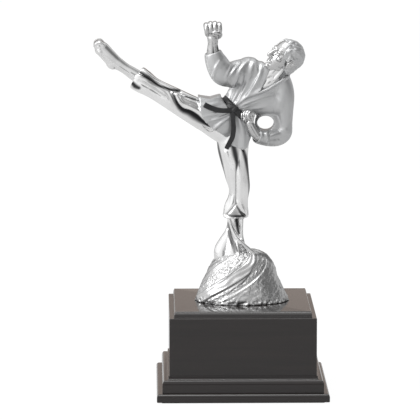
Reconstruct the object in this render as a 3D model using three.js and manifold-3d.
// Figure trophy: a cast martial-arts figure in a high side kick, standing on a
// swirled rock, bolted on a stepped and moulded square base.
// Millimetres, +Z up. The origin is the centre of the base's underside, the front
// of the base faces -Y and the kick goes towards -X.
import * as THREE from "three";
import { mergeVertices } from "three/addons/utils/BufferGeometryUtils.js";
import Module from "manifold-3d";

const wasm = await Module();
wasm.setup();

// ---- Driving dimensions ----
const GAP = 0.3; // clearance between neighbouring pieces of the figure

const FELT_SIDE = 94;
const FELT_HEIGHT = 0.8;
const FOOT_SIDE = 100;
const FOOT_HEIGHT = 4.8;
const FOOT_ROUND = 1.8;
const OGEE_SIDE = 93.6;
const OGEE_HEIGHT = 9.6;
const OGEE_BAND = 4.4; // the upright band at the ogee board's foot
const OGEE_ROUND = [1.5, 3.1]; // width and height of its quarter round
const OGEE_FILLET = 1.4;
const OGEE_COVE = 2.1; // height of the hollow under the block
const OGEE_STEP = 0.5; // how far the cove's top stands out from the block
const BLOCK_SIDE = 85.4;
const BLOCK_HEIGHT = 33.6;
const BLOCK_EDGE = 0.4; // the eased edge round the block's top
const PANEL_SIDE = 78.7;
const PANEL_HEIGHT = 3.65;
const PANEL_FLARE = 0.7; // how far the panel's foot stands out
const PANEL_LIP = 2; // height at which the flare has died out
const PANEL_EDGE = 0.3; // the eased edge round the panel's top

const STUD_RADIUS = 3;
const STUD_HOLE_RADIUS = 3.3;
const STUD_END = 1.8; // the stud's lower end, above the table
const STUD_TOP = 64;
const WASHER_RADIUS = 9;
const WASHER_THICK = 1.6;
const NUT_ACROSS_FLATS = 10;
const NUT_HEIGHT = 5;
const RECESS_RADIUS = 10.5;
const RECESS_TOP = 9.2;
const BUSH_RADIUS = 5;
const BUSH_HEIGHT = 11;
const BUSH_LIFT = 0.8; // room under the bush

const PIN_RADIUS = 1.2;
const LEG_PIN = { x: -3.4, y: 0, from: 72, to: 112 };
const WAIST_PIN = { from: [-9.5, 0, 158.5], to: [4.5, 0, 173.5] };

const WAIST = [-3.6, 0, 166]; // the middle of the belt
const TORSO_LEAN = [0.7, 0, 0.714]; // the way the torso points
const BELT_WAIST = [9.6, 8.8]; // the waist's radii
const BELT_INSIDE = 0.96; // the band's inner and outer face, as shares of those
const BELT_OUTSIDE = 1.1;
const BELT_HALF_WIDTH = 1.9;

// ---- Levels of the base, worked out from the heights above ----
const FOOT_BOTTOM = FELT_HEIGHT;
const OGEE_BOTTOM = FOOT_BOTTOM + FOOT_HEIGHT;
const BLOCK_BOTTOM = OGEE_BOTTOM + OGEE_HEIGHT;
const PANEL_BOTTOM = BLOCK_BOTTOM + BLOCK_HEIGHT;
const PANEL_TOP = PANEL_BOTTOM + PANEL_HEIGHT;

// ---- Finishes ----
const finish = (color, roughness, metalness) =>
  new THREE.MeshStandardMaterial({ color, roughness, metalness });
const LACQUER = finish(0x352e2d, 0.12, 0);
const FELT = finish(0x1f3a2a, 0.95, 0);
const STEEL = finish(0xb9bcc0, 0.35, 1);
const BRASS = finish(0xb58e4a, 0.35, 1);
const BRIGHT = finish(0xe6e7e8, 0.06, 1);
const SATIN = finish(0xa9abac, 0.4, 0.7);
const BLACK = finish(0x26272a, 0.4, 0);

const trophy = new THREE.Group();

// ---- Helpers ----
// A closed three.js geometry as a solid that can be joined and cut.
function solidOf(geometry) {
  const bare = geometry.clone();
  bare.deleteAttribute("normal");
  bare.deleteAttribute("uv");
  const merged = mergeVertices(bare, 1e-4);
  const corners = merged.index.array;
  const triangles = [];
  for (let i = 0; i < corners.length; i += 3) {
    const [a, b, c] = [corners[i], corners[i + 1], corners[i + 2]];
    if (a !== b && b !== c && a !== c) triangles.push(a, b, c);
  }
  return new wasm.Manifold(
    new wasm.Mesh({
      numProp: 3,
      vertProperties: merged.attributes.position.array,
      triVerts: new Uint32Array(triangles),
    }),
  );
}

// A solid as a named mesh of the trophy.
function addPiece(name, solid, material) {
  const { vertProperties, triVerts, numProp } = solid.getMesh();
  const geometry = new THREE.BufferGeometry();
  const points = new THREE.InterleavedBuffer(vertProperties, numProp);
  geometry.setAttribute(
    "position",
    new THREE.InterleavedBufferAttribute(points, 3, 0),
  );
  geometry.setIndex(new THREE.BufferAttribute(triVerts, 1));
  const plain = geometry.toNonIndexed();
  plain.computeVertexNormals();
  const piece = new THREE.Mesh(plain, material);
  piece.name = name;
  trophy.add(piece);
}

// A square board with the same profile on its four sides. The profile lists
// [half side, height] from the bottom up; a four-sided lathe mitres the corners.
function squareBoard(profile) {
  const first = profile[0];
  const last = profile[profile.length - 1];
  const closed = [[0, first[1]], ...profile, [0, last[1]]];
  const points = closed.map(
    ([half, height]) => new THREE.Vector2(half * Math.SQRT2, height),
  );
  const geometry = new THREE.LatheGeometry(points, 4);
  geometry.rotateY(Math.PI / 4);
  geometry.rotateX(Math.PI / 2);
  return solidOf(geometry);
}

// A quarter circle as profile points, from one angle to another, in degrees.
function arcPoints(centre, radius, from, to, steps) {
  const points = [];
  for (let i = 0; i <= steps; i += 1) {
    const angle = ((from + ((to - from) * i) / steps) * Math.PI) / 180;
    points.push([
      centre[0] + radius[0] * Math.cos(angle),
      centre[1] + radius[1] * Math.sin(angle),
    ]);
  }
  return points;
}

// An upright round rod at x, y between two heights.
function rod(radius, from, to, x = 0, y = 0, sides = 24) {
  const geometry = new THREE.CylinderGeometry(radius, radius, to - from, sides);
  geometry.rotateX(Math.PI / 2);
  geometry.translate(x, y, (from + to) / 2);
  return solidOf(geometry);
}

// A rod between any two points.
function slantedRod(radius, start, end, sides = 16) {
  const a = new THREE.Vector3(...start);
  const b = new THREE.Vector3(...end);
  const length = a.distanceTo(b);
  const geometry = new THREE.CylinderGeometry(radius, radius, length, sides);
  const along = b.clone().sub(a).normalize();
  const turn = new THREE.Quaternion().setFromUnitVectors(
    new THREE.Vector3(0, 1, 0),
    along,
  );
  geometry.applyQuaternion(turn);
  const middle = a.add(b).multiplyScalar(0.5);
  geometry.translate(middle.x, middle.y, middle.z);
  return solidOf(geometry);
}

// An ellipsoid: centre, three radii and a turn about Y in degrees.
function ball(centre, radii, turn = 0, grow = 0, sides = 16) {
  const geometry = new THREE.SphereGeometry(1, sides, Math.round(sides * 0.6));
  geometry.rotateX(Math.PI / 2);
  geometry.scale(radii[0] + grow, radii[1] + grow, radii[2] + grow);
  geometry.rotateY((turn * Math.PI) / 180);
  geometry.translate(...centre);
  return solidOf(geometry);
}

// A limb or garment lofted through oval rings. Each station is
// [x, y, z, radius across the limb, radius from front to back].
function loft(stations, grow = 0, sides = 16) {
  const count = stations.length;
  const geometry = new THREE.CylinderGeometry(1, 1, 1, sides, count - 1);
  const centres = stations.map(([x, y, z]) => new THREE.Vector3(x, y, z));
  const frames = centres.map((centre, i) => {
    const before = centres[Math.max(i - 1, 0)];
    const after = centres[Math.min(i + 1, count - 1)];
    const along = after.clone().sub(before).normalize();
    const deep = new THREE.Vector3(0, 1, 0);
    deep.addScaledVector(along, -deep.dot(along)).normalize();
    const across = new THREE.Vector3().crossVectors(deep, along);
    return { centre, along, deep, across };
  });
  const position = geometry.attributes.position;
  const vertex = new THREE.Vector3();
  for (let i = 0; i < position.count; i += 1) {
    vertex.fromBufferAttribute(position, i);
    // Cylinder rings run from y = +0.5 down; the first station is the lower end.
    const ring = Math.round((vertex.y + 0.5) * (count - 1));
    const { centre, along, deep, across } = frames[ring];
    const [, , , wide, thick] = stations[ring];
    const end = ring === 0 ? -grow : ring === count - 1 ? grow : 0;
    const point = centre.clone().addScaledVector(along, end);
    point.addScaledVector(across, vertex.x * (wide + grow));
    point.addScaledVector(deep, -vertex.z * (thick + grow));
    position.setXYZ(i, point.x, point.y, point.z);
  }
  return solidOf(geometry);
}

// A flat slab that cuts away everything on one side of a plane.
function halfSpace(point, normal, size = 120) {
  const geometry = new THREE.BoxGeometry(size, size, size);
  geometry.translate(0, 0, size / 2);
  const direction = new THREE.Vector3(...normal).normalize();
  const turn = new THREE.Quaternion().setFromUnitVectors(
    new THREE.Vector3(0, 0, 1),
    direction,
  );
  geometry.applyQuaternion(turn);
  geometry.translate(...point);
  return solidOf(geometry);
}

const join = (...solids) => solids.reduce((whole, one) => whole.add(one));
const cut = (whole, ...tools) =>
  tools.reduce((left, tool) => left.subtract(tool), whole);

// ---- The base ----
const studHole = rod(STUD_HOLE_RADIUS, 0, STUD_TOP + 2);
const nutRecess = rod(RECESS_RADIUS, 0, RECESS_TOP, 0, 0, 32);

function feltPad() {
  const half = FELT_SIDE / 2;
  return squareBoard([
    [half, 0],
    [half, FELT_HEIGHT],
  ]);
}

function footBoard() {
  const half = FOOT_SIDE / 2;
  const centre = [half - FOOT_ROUND, OGEE_BOTTOM - FOOT_ROUND];
  const round = arcPoints(centre, [FOOT_ROUND, FOOT_ROUND], 0, 90, 5);
  return cut(squareBoard([[half, FOOT_BOTTOM], ...round]), nutRecess);
}

// From the bottom up: an upright band, a quarter round, a fillet and a cove.
function ogeeBoard() {
  const half = OGEE_SIDE / 2;
  const coveTop = [half - OGEE_ROUND[0] - OGEE_FILLET, BLOCK_BOTTOM];
  const coveSize = [coveTop[0] - BLOCK_SIDE / 2 - OGEE_STEP, OGEE_COVE];
  const roundCentre = [half - OGEE_ROUND[0], OGEE_BOTTOM + OGEE_BAND];
  return cut(
    squareBoard([
      [half, OGEE_BOTTOM],
      ...arcPoints(roundCentre, OGEE_ROUND, 0, 90, 5),
      ...arcPoints(coveTop, coveSize, 270, 180, 4),
    ]),
    nutRecess,
    studHole,
  );
}

function baseBlock() {
  const half = BLOCK_SIDE / 2;
  const block = squareBoard([
    [half, BLOCK_BOTTOM],
    [half, PANEL_BOTTOM - BLOCK_EDGE],
    [half - BLOCK_EDGE, PANEL_BOTTOM],
  ]);
  return cut(block, studHole);
}

function topPanel() {
  const half = PANEL_SIDE / 2;
  const panel = squareBoard([
    [half + PANEL_FLARE, PANEL_BOTTOM],
    [half + PANEL_FLARE * 0.3, PANEL_BOTTOM + PANEL_LIP / 2],
    [half, PANEL_BOTTOM + PANEL_LIP],
    [half, PANEL_TOP - PANEL_EDGE],
    [half - PANEL_EDGE, PANEL_TOP],
  ]);
  return cut(panel, studHole);
}

function studNut() {
  const radius = NUT_ACROSS_FLATS / Math.sqrt(3);
  const top = RECESS_TOP - WASHER_THICK;
  return cut(rod(radius, top - NUT_HEIGHT, top, 0, 0, 6), studHole);
}

function studWasher() {
  return cut(rod(WASHER_RADIUS, RECESS_TOP - WASHER_THICK, RECESS_TOP), studHole);
}

function moundBush() {
  const bottom = PANEL_TOP + BUSH_LIFT;
  return cut(rod(BUSH_RADIUS, bottom, bottom + BUSH_HEIGHT), studHole);
}

addPiece("felt_pad", feltPad(), FELT);
addPiece("foot_board", footBoard(), LACQUER);
addPiece("ogee_board", ogeeBoard(), LACQUER);
addPiece("base_block", baseBlock(), LACQUER);
addPiece("top_panel", topPanel(), LACQUER);
addPiece("base_stud", rod(STUD_RADIUS, STUD_END, STUD_TOP), STEEL);
addPiece("stud_washer", studWasher(), STEEL);
addPiece("stud_nut", studNut(), STEEL);
addPiece("mound_bush", moundBush(), BRASS);

// ---- The pins inside the figure ----
const legPinHole = (grow) =>
  rod(PIN_RADIUS + grow, LEG_PIN.from - grow, LEG_PIN.to + grow, LEG_PIN.x, LEG_PIN.y, 16);
const waistPinHole = (grow) => slantedRod(PIN_RADIUS + grow, WAIST_PIN.from, WAIST_PIN.to);

// ---- The standing foot: heel to the left, forefoot sunk in the rock ----
const standingFoot = (grow) =>
  join(
    loft(
      [
        [-3.7, 0, 79, 6.2, 5.6],
        [-5, 0, 86, 5.8, 5],
        [-4.4, 0, 91, 5, 4.3],
        [-3.8, 0, 97, 4.3, 4],
        [-3.6, 0, 104, 4.2, 4],
      ],
      grow,
    ),
    ball([-9.8, 1, 81.5], [6.2, 5, 6.4], 0, grow),
    loft(
      [
        [-8, 0, 81.5, 4.6, 4.8],
        [0, -2.5, 82, 4.6, 5.4],
        [6.5, -4, 80.5, 2.8, 5.4],
      ],
      grow,
    ),
  );

// ---- The mound: a twisted dome with rounded ribs between grooves ----
const MOUND_RINGS = [
  // [height over the panel, left edge, right edge, half depth]
  [0, -26.6, 27.6, 21],
  [3, -26.2, 26, 20.4],
  [6, -25.2, 24.8, 19.6],
  [9, -24, 23.6, 18.6],
  [12.5, -22.2, 21.8, 17.4],
  [16, -20.4, 20.4, 16],
  [19.5, -18.9, 19.4, 14.6],
  [23, -16.6, 17.6, 12.8],
  [26, -13.4, 15.2, 10.6],
  [28.3, -9.2, 12, 7.8],
  [29.6, -4, 8.4, 4.4],
];
const MOUND_RIBS = 6;
const MOUND_RIB_DEPTH = 0.035;
const MOUND_TWIST = 4 * (Math.PI / 180); // radians for each millimetre of height

function moundSolid() {
  const sides = 48;
  const levels = MOUND_RINGS.length - 1;
  const geometry = new THREE.CylinderGeometry(1, 1, 1, sides, levels);
  const position = geometry.attributes.position;
  for (let i = 0; i < position.count; i += 1) {
    const ring = Math.round((position.getY(i) + 0.5) * levels);
    const [height, left, right, deep] = MOUND_RINGS[ring];
    const [x, y] = [position.getX(i), -position.getZ(i)];
    const angle = Math.atan2(y, x) - MOUND_TWIST * height;
    const rib = 1 - MOUND_RIB_DEPTH * (1 - Math.abs(Math.cos((MOUND_RIBS * angle) / 2)));
    position.setXYZ(
      i,
      (left + right) / 2 + (x * rib * (right - left)) / 2,
      y * rib * deep,
      PANEL_TOP + height,
    );
  }
  return solidOf(geometry);
}

const bushHoleTop = PANEL_TOP + BUSH_LIFT + BUSH_HEIGHT + GAP;
const bushHole = rod(BUSH_RADIUS + GAP, PANEL_TOP - 1, bushHoleTop);
addPiece(
  "mound",
  cut(moundSolid(), bushHole, studHole, legPinHole(GAP), standingFoot(GAP)),
  BRIGHT,
);
addPiece("standing_foot", cut(standingFoot(0), legPinHole(GAP)), BRIGHT);
addPiece("leg_pin", legPinHole(0), STEEL);

// ---- The trousers: two legs and the hips in one casting ----
const STANDING_LEG = [
  [-3.3, 0, 101.6, 7.5, 6.5],
  [-3.2, 0, 106.5, 7.3, 6.6],
  [-1.9, 0, 113.5, 5.9, 6.4],
  [-1.3, 0, 119.5, 6.3, 7],
  [-2.6, 0, 127, 7.1, 7.6],
  [-4.2, 0, 135.5, 8.1, 8],
  [-5, 0, 143, 9.2, 8.4],
  [-5, 0, 150, 9.4, 8.6],
  [-6, 0, 157, 8, 8],
];
const KICKING_LEG = [
  [-60.6, -6, 184.4, 7.3, 6.4],
  [-57, -6, 182.2, 7, 6.3],
  [-51.2, -6, 178.5, 6.1, 6.2],
  [-40.5, -6.5, 172.6, 6.9, 6.8],
  [-28.5, -5, 165.7, 8, 7.8],
  [-17, -2, 159.8, 9.2, 8.4],
  [-7, 0, 157, 9, 8.4],
];
const CROTCH = [
  [-16, -1, 157, 8.2, 8],
  [-11.5, -0.5, 154.4, 8.4, 8.2],
  [-7, 0, 152, 8.4, 8.2],
];
const trousersSolid = (grow) =>
  join(
    loft(STANDING_LEG, grow),
    loft(KICKING_LEG, grow),
    loft(CROTCH, grow),
    ball([-7.5, 0, 157.5], [9.4, 8.8, 9.4], 0, grow),
  );

const KICKING_ANKLE = [
  [-56.5, -6.4, 182.8, 3.5, 3.3],
  [-63, -6.4, 187, 3.6, 3.2],
  [-67.6, -6.4, 190.1, 3.3, 3],
  [-71.2, -6.4, 192.5, 3.5, 3.1],
  [-74.6, -6.5, 194.6, 4.2, 3.3],
];
const KICKING_SOLE = [
  [-73.4, -6.4, 193.2, 3.6, 3.2],
  [-78, -6.8, 198.2, 4.2, 3.8],
  [-81.4, -7, 202, 4.2, 4.3],
  [-84, -7, 205.4, 2.8, 4.3],
];
const kickingFoot = (grow) =>
  join(
    loft(KICKING_ANKLE, grow),
    ball([-75.4, -6.4, 193], [3.9, 3.3, 3.2], 30, grow),
    loft(KICKING_SOLE, grow),
    ball([-84, -7, 205.4], [2.2, 4.6, 2.4], 50, grow),
  );

// The hollow mouth of a cuff, a shallow cup round the ankle.
const standingCuff = loft([
  [-3.4, 0, 100.6, 6.6, 5.6],
  [-3.5, 0, 105, 5, 4.7],
]);
const kickingCuff = loft([
  [-61.6, -6, 185, 6.3, 5.5],
  [-56, -6, 181.6, 4, 4],
]);

addPiece(
  "trousers",
  cut(
    trousersSolid(0),
    standingCuff,
    kickingCuff,
    legPinHole(GAP),
    waistPinHole(GAP),
    standingFoot(GAP),
    kickingFoot(GAP),
    beltBand(GAP),
  ),
  BRIGHT,
);
addPiece("kicking_foot", kickingFoot(0), BRIGHT);
addPiece("waist_pin", waistPinHole(0), STEEL);

// ---- The jacket ----
const TORSO = [
  [-4.6, 0, 165, 9, 8.2],
  [0, 0, 170, 10.3, 8.8],
  [5.5, 0, 175.4, 12.4, 9.4],
  [10.8, 0, 181, 13.4, 9.2],
  [14.8, 0, 185.6, 12, 8],
  [17.6, 0, 188.8, 7.6, 6],
];
const UNDER_ARM = [
  [2, -0.5, 171, 7.6, 7.4],
  [9, -1, 170, 7.6, 6.8],
  [16, -1, 169.4, 7.3, 6.2],
];
const RIGHT_SLEEVE = [
  [8, -0.5, 187.8, 8.2, 7.8],
  [3, -1.6, 187.6, 8, 7.6],
  [-2, -4, 187.2, 7.8, 7.2],
  [-7.4, -7.4, 186.6, 7.3, 6.8],
  [-11.4, -9.8, 188.2, 7.4, 6.4],
  [-14.2, -11.2, 192.8, 7, 6],
  [-16.2, -12.1, 197.2, 5.9, 5.5],
  [-17.2, -12.5, 200.6, 5, 4.9],
];
const LEFT_SLEEVE = [
  [22, -0.5, 184, 6, 6.6],
  [23.6, -0.3, 178, 6.6, 6.8],
  [24.4, 0, 172, 6.5, 6.6],
  [24.8, 1, 164, 5.5, 6],
  [24.8, 1.6, 157, 5, 5.6],
  [24.2, 1.6, 151.4, 5.4, 5.5],
  [20.8, 0.2, 149, 5.3, 5.3],
  [16.2, -3, 149, 5.1, 5],
  [12, -5.6, 149.4, 4.4, 4.7],
  [8.4, -8, 150.6, 3.9, 4.3],
];
const ARM_HOLE = { x: 14, z: 157.8, wide: 4.9, tall: 4.2 }; // the gap under the left arm
const ARMPIT = 163; // height where the sleeve's web meets the body
const rightSleeve = (grow) => loft(RIGHT_SLEEVE, grow);

function armHole(grow) {
  const geometry = new THREE.CylinderGeometry(1, 1, 40, 24);
  geometry.scale(ARM_HOLE.wide - grow, 1, ARM_HOLE.tall - grow);
  geometry.translate(ARM_HOLE.x, 0, ARM_HOLE.z);
  return solidOf(geometry);
}

// The sleeve with the web of cloth in the crook of the arm.
const leftSleeve = (grow) =>
  cut(
    join(
      loft(LEFT_SLEEVE, grow),
      cut(
        ball([15.5, -0.5, 157.5], [8, 4.6, 8.4], 0, grow),
        halfSpace([0, 0, ARMPIT + grow], [0, 0, 1]),
      ),
    ),
    armHole(grow),
  );
const torsoSolid = join(
  loft(TORSO),
  ball([21.4, -0.5, 182], [7, 6.4, 7]),
  loft(UNDER_ARM),
);

const NECK = [
  [12.5, -2, 180.5, 5, 4.6],
  [17, -2, 186.4, 4.6, 4.4],
  [20.6, -1.8, 191, 4.3, 4.3],
];
const chestSolid = (grow) =>
  join(loft(NECK, grow), ball([16.6, -4.8, 182.4], [6.6, 4.6, 4.4], 45, grow));

// ---- The head: a plain egg on the neck's axis, with a simple nose ----
const HEAD_TURN = 37; // degrees that the crown leans to the right
const FACING = [-0.7, -0.5, 0.52];
const headSolid = (grow) =>
  join(
    ball([24.4, -2.3, 196.4], [7.8, 7.8, 10.6], HEAD_TURN, grow, 20),
    ball([18.6, -3.5, 192.4], [4.8, 4.6, 4.4], HEAD_TURN, grow, 12),
  );
const noseSolid = loft(
  [
    [19.8, -5.9, 200.6, 1, 1],
    [16.8, -6.9, 198.9, 1.2, 1.5],
    [16.6, -6.6, 197.6, 1.1, 1],
  ],
  0,
  8,
);
const hairBall = (grow) => ball([27.5, -1.2, 197.3], [9.2, 9.4, 9.2], HEAD_TURN, grow, 20);
const hairSolid = cut(
  hairBall(0),
  headSolid(GAP),
  halfSpace([24, -3.7, 200], FACING, 40),
  halfSpace([22.6, 0, 187.4], [-0.6, 0, -0.8], 40),
);
const wholeHead = cut(join(headSolid(0), noseSolid), chestSolid(GAP));

// ---- The belt: a band round the waist, a knot and two tails ----
function beltBand(grow) {
  const half = BELT_HALF_WIDTH + grow;
  const inner = BELT_INSIDE;
  const outer = BELT_OUTSIDE + grow / BELT_WAIST[1];
  const points = [
    [inner, -half],
    [outer, -half],
    [outer, half],
    [inner, half],
    [inner, -half],
  ].map(([radius, height]) => new THREE.Vector2(radius, height));
  const geometry = new THREE.LatheGeometry(points, 28);
  geometry.rotateX(Math.PI / 2);
  geometry.scale(...BELT_WAIST, 1);
  geometry.rotateY(Math.atan2(TORSO_LEAN[0], TORSO_LEAN[2]));
  geometry.translate(...WAIST);
  return solidOf(geometry);
}
const knotSolid = (grow) => ball([-5, -9.6, 166.4], [3, 2.4, 2.6], 40, grow, 12);
const FLYING_TAIL = [
  [-6.6, -10.6, 166, 1.5, 0.8],
  [-11, -11, 165.6, 1.5, 0.7],
  [-16.5, -11.6, 166.8, 1.4, 0.7],
  [-22, -12, 169, 1.4, 0.7],
];
const HANGING_TAIL = [
  [-5.4, -11, 164.4, 1.5, 0.8],
  [-5.2, -11.8, 159.4, 1.3, 0.7],
  [-5.4, -11.8, 152.4, 1.3, 0.7],
  [-7.2, -11.8, 147.6, 1.3, 0.7],
  [-9, -11.8, 144, 1.4, 0.7],
];

// ---- The skirt of the jacket below the belt ----
const LEFT_SKIRT = [
  [-2.6, 0, 160, 15, 10],
  [-10, -0.6, 160, 15, 11.2],
  [-17, -1.6, 162.4, 12.6, 10.4],
  [-24, -3.4, 164.4, 10.6, 10],
  [-28, -4.4, 166.4, 9.6, 9.4],
];
const RIGHT_SKIRT = [
  [-2.6, 0, 167, 8.8, 8.2],
  [-2.6, 0, 159, 10, 9.8],
  [-3, 0, 151, 10.6, 10.2],
  [-2.4, 0, 141.6, 10, 10],
];
// The flaps' outlines from the front, as x, z, parted under the knot.
const LEFT_HEM = [
  [-4.8, 164.6],
  [-11.7, 171.8],
  [-12.4, 174.6],
  [-18.6, 172.6],
  [-25.9, 174.2],
  [-24.6, 171.6],
  [-24.2, 165.4],
  [-22, 160.3],
  [-18.1, 156.1],
  [-12, 152],
  [-8.2, 149.6],
  [-5.4, 150.6],
];
const RIGHT_HEM = [
  [-4.4, 164.8],
  [-5, 149.9],
  [-8, 148.9],
  [-5.8, 145.1],
  [-2, 143.6],
  [0.9, 142.6],
  [3.1, 143.8],
  [5.4, 150.2],
  [4.6, 156.4],
  [2.4, 158.2],
];

// A prism that keeps what lies inside an outline seen from the front.
function hemPrism(outline, depth = 60) {
  const shape = new THREE.Shape(outline.map(([x, z]) => new THREE.Vector2(x, z)));
  const geometry = new THREE.ExtrudeGeometry(shape, { depth, bevelEnabled: false });
  geometry.rotateX(Math.PI / 2);
  geometry.translate(0, depth / 2, 0);
  return solidOf(geometry);
}

const lowerCut = halfSpace(WAIST, TORSO_LEAN.map((value) => -value));
const trousersRoom = trousersSolid(GAP);

const jacketBody = cut(
  torsoSolid,
  lowerCut,
  rightSleeve(GAP),
  leftSleeve(GAP),
  chestSolid(GAP),
  trousersRoom,
  waistPinHole(GAP),
  beltBand(GAP),
  knotSolid(GAP),
  headSolid(GAP),
);
const waistGap = halfSpace(
  WAIST.map((value, i) => value - TORSO_LEAN[i] * GAP),
  TORSO_LEAN,
);
const skirtTools = [waistGap, trousersRoom, waistPinHole(GAP), beltBand(GAP), knotSolid(GAP)];
const leftFlap = cut(
  loft(LEFT_SKIRT).intersect(hemPrism(LEFT_HEM)),
  ...skirtTools,
  loft(FLYING_TAIL, GAP, 8),
  loft(HANGING_TAIL, GAP, 8),
);
const rightFlap = cut(loft(RIGHT_SKIRT).intersect(hemPrism(RIGHT_HEM)), ...skirtTools);

// ---- Bare forearms and fists ----
const RIGHT_FOREARM = [
  [-16.6, -12.2, 196, 3, 3],
  [-17.2, -12.8, 202, 3.2, 3.1],
  [-17.2, -13.2, 208.4, 3, 3],
];
const LEFT_FOREARM = [
  [12, -6.4, 148, 2.3, 2.5],
  [8.6, -9, 150.8, 2.6, 2.7],
  [6, -10.8, 155, 2.6, 2.6],
  [4.4, -11.4, 158.6, 2.4, 2.4],
];
function fist(centre, radii, turn, fingerStep) {
  const palm = ball(centre, radii, turn, 0, 14);
  const fingers = [-1.5, -0.5, 0.5, 1.5].map((place) =>
    ball(
      [
        centre[0] + fingerStep[0] * place,
        centre[1] - radii[1] * 0.72,
        centre[2] + fingerStep[1] * place + radii[2] * 0.2,
      ],
      [1.3, 2, 3],
      turn,
      0,
      8,
    ),
  );
  return join(palm, ...fingers);
}
const rightArm = join(
  loft(RIGHT_FOREARM),
  fist([-17, -14, 213], [5, 4.4, 5.6], 0, [2.4, 0]),
);
const leftArm = join(
  loft(LEFT_FOREARM),
  fist([3.8, -12.2, 162], [3.5, 3.2, 4.6], -12, [1.5, 0.3]),
);
const armRoom = (stations) => loft(stations, GAP);

addPiece("jacket_body", jacketBody, SATIN);
addPiece("right_sleeve", cut(rightSleeve(0), armRoom(RIGHT_FOREARM)), SATIN);
addPiece(
  "left_sleeve",
  cut(leftSleeve(0), armRoom(LEFT_FOREARM), chestSolid(GAP)),
  SATIN,
);
addPiece("skirt_left_flap", leftFlap, SATIN);
addPiece("skirt_right_flap", rightFlap, SATIN);
addPiece("belt_band", cut(beltBand(0), knotSolid(GAP)), BLACK);
addPiece(
  "belt_knot",
  cut(knotSolid(0), loft(FLYING_TAIL, GAP, 8), loft(HANGING_TAIL, GAP, 8)),
  BLACK,
);
addPiece("belt_tail_flying", loft(FLYING_TAIL, 0, 8), BLACK);
addPiece("belt_tail_hanging", loft(HANGING_TAIL, 0, 8), BLACK);
addPiece("right_forearm", rightArm, BRIGHT);
addPiece("left_forearm", leftArm, BRIGHT);
addPiece("chest_neck", chestSolid(0), BRIGHT);
addPiece("head", wholeHead, BRIGHT);
addPiece("hair", hairSolid, SATIN);

export default trophy;
